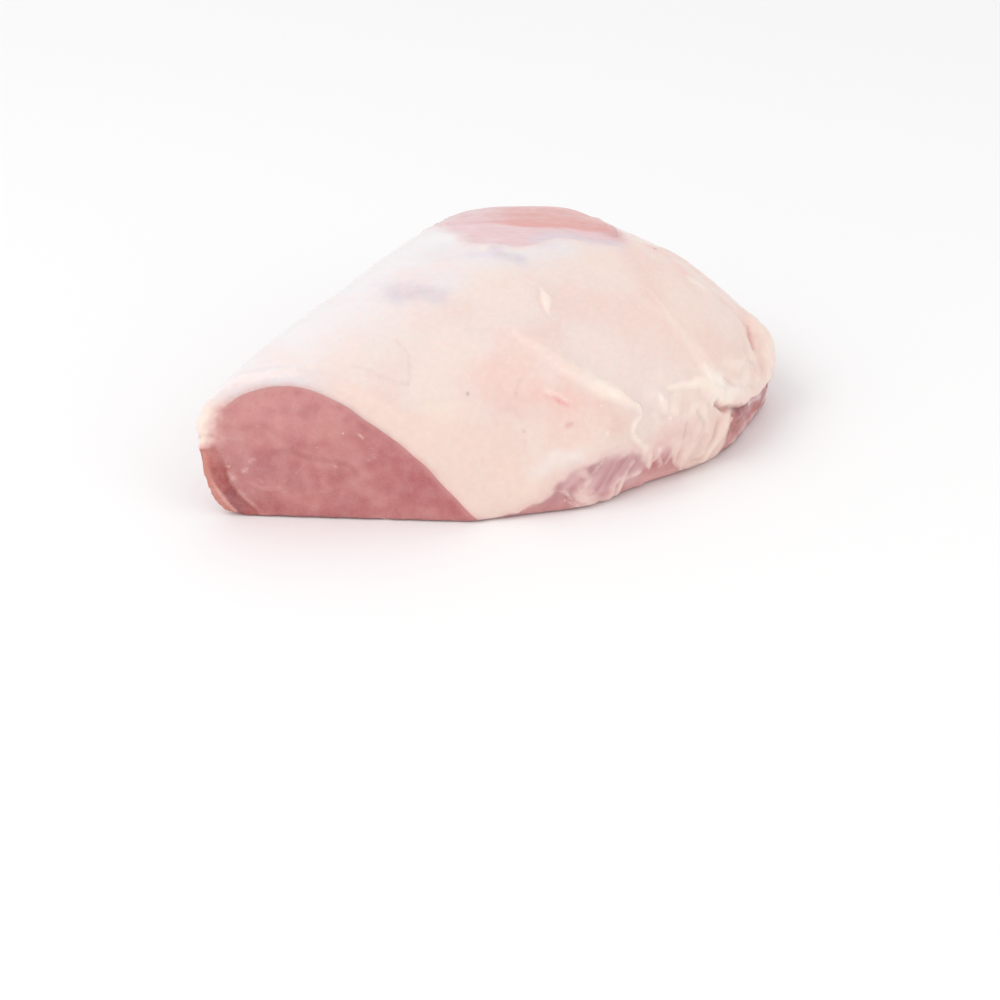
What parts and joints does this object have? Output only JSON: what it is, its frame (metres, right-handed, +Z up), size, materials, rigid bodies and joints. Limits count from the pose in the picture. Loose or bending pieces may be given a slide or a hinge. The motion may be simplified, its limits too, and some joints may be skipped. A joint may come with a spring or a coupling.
{
  "type": "raw pork loin",
  "caption": "Boneless raw pork loin roast with its cap of back fat, cut across on the bias at one end to show the lean eye muscle.",
  "frame": {"origin": "under the middle of the loin's box, on the surface that it rests on", "axes": "+X along the loin from the bias cut to the far end, +Y towards the chine side, +Z up through the fat cap"},
  "size_m": [0.2368, 0.1444, 0.0807],
  "materials": {
    "pork": "raw pork: moist, satin, pinkish cream back fat over dusty pink lean"
  },
  "bodies": {
    "root": {"pork_loin": "pork"}
  },
  "joints": []
}
